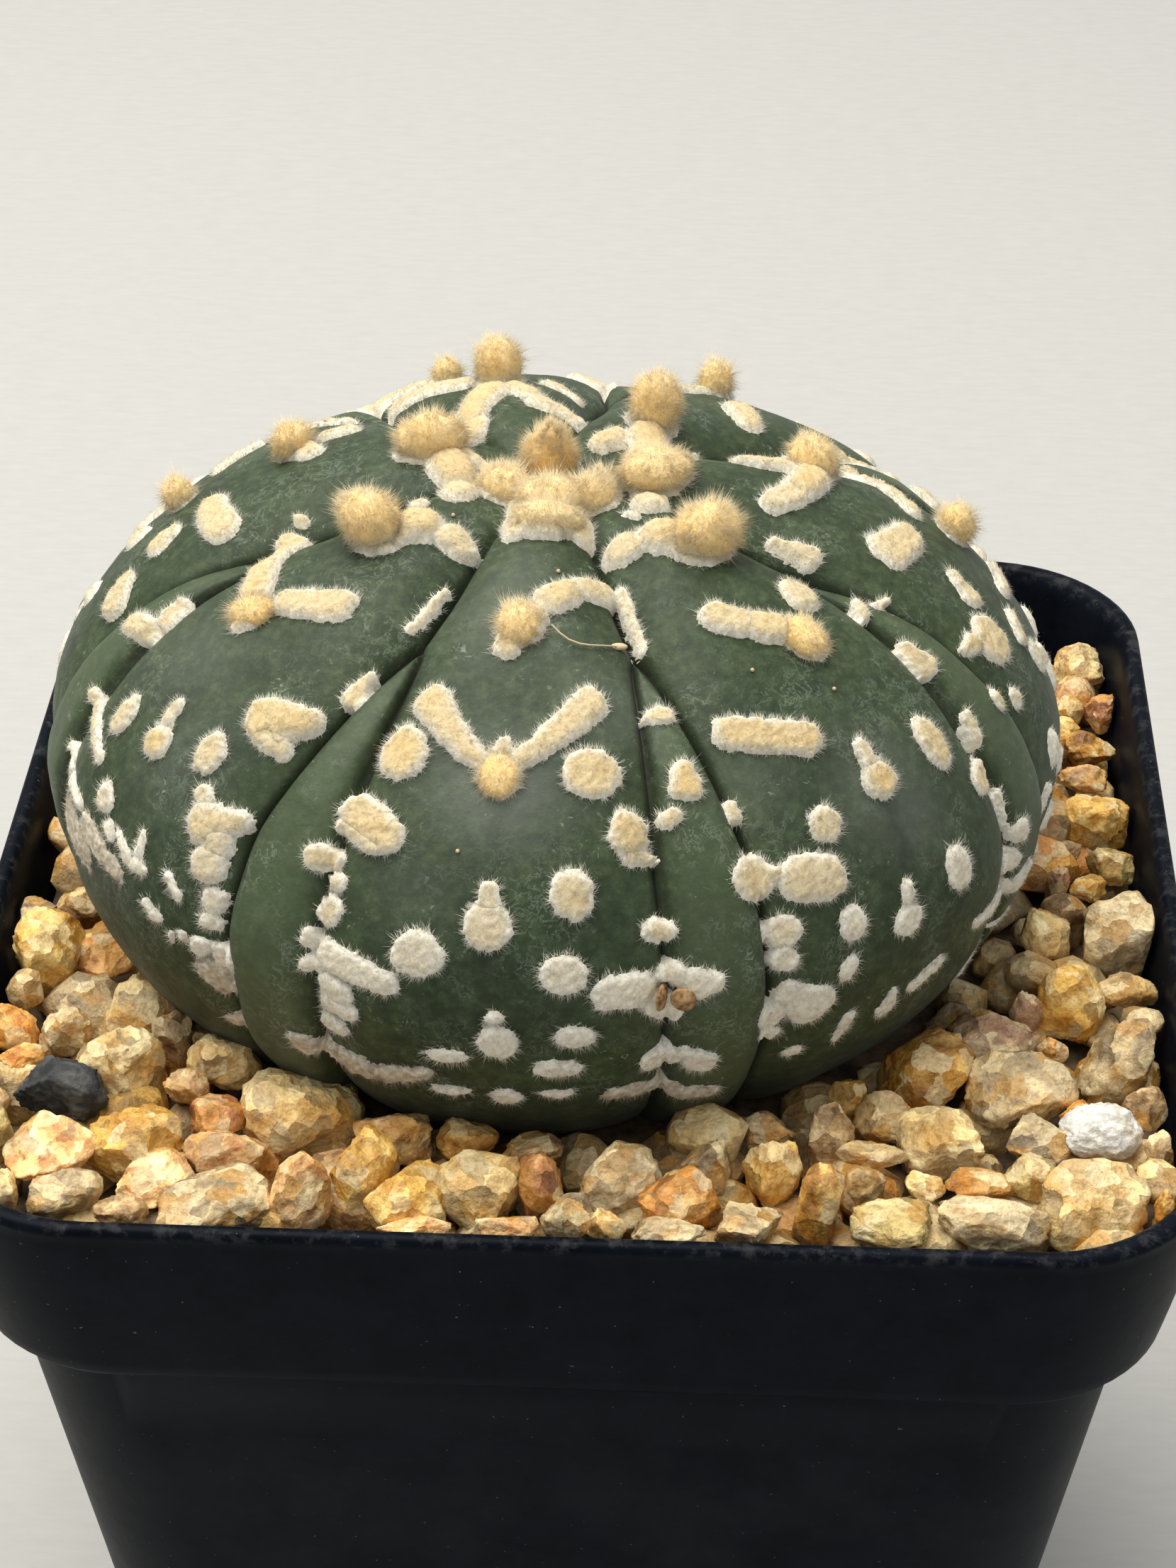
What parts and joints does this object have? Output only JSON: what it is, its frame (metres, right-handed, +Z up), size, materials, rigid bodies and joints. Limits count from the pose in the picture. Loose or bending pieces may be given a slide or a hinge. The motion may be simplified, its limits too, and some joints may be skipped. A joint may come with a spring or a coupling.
{
  "type": "potted star cactus",
  "caption": "Humped star cactus with rows of woolly flecks, growing in gravel-topped soil in a square black plastic nursery pot that stands on its own.",
  "frame": {"origin": "middle of the pot's underside, on the surface that the pot stands on", "axes": "+Z up, -Y towards the pot side that faces the viewer, +X to the viewer's right"},
  "size_m": [0.075, 0.075, 0.0977],
  "materials": {
    "pot_plastic": "black moulded plastic with a soft sheen, a little dusty and scuffed",
    "soil": "dark crumbly potting mix",
    "gravel": "worn quartz in honey, cream, peach and rust, half translucent",
    "cactus_skin": "dark grey-green waxy skin with cream and tan wool",
    "dark_gravel": "rough dark grey stone",
    "white_gravel": "chalky white stone"
  },
  "bodies": {
    "root": {"pot": "pot_plastic", "potting_soil": "soil", "gravel_dressing": "gravel", "cactus": "cactus_skin", "dark_stone": "dark_gravel", "white_stone": "white_gravel"}
  },
  "joints": []
}
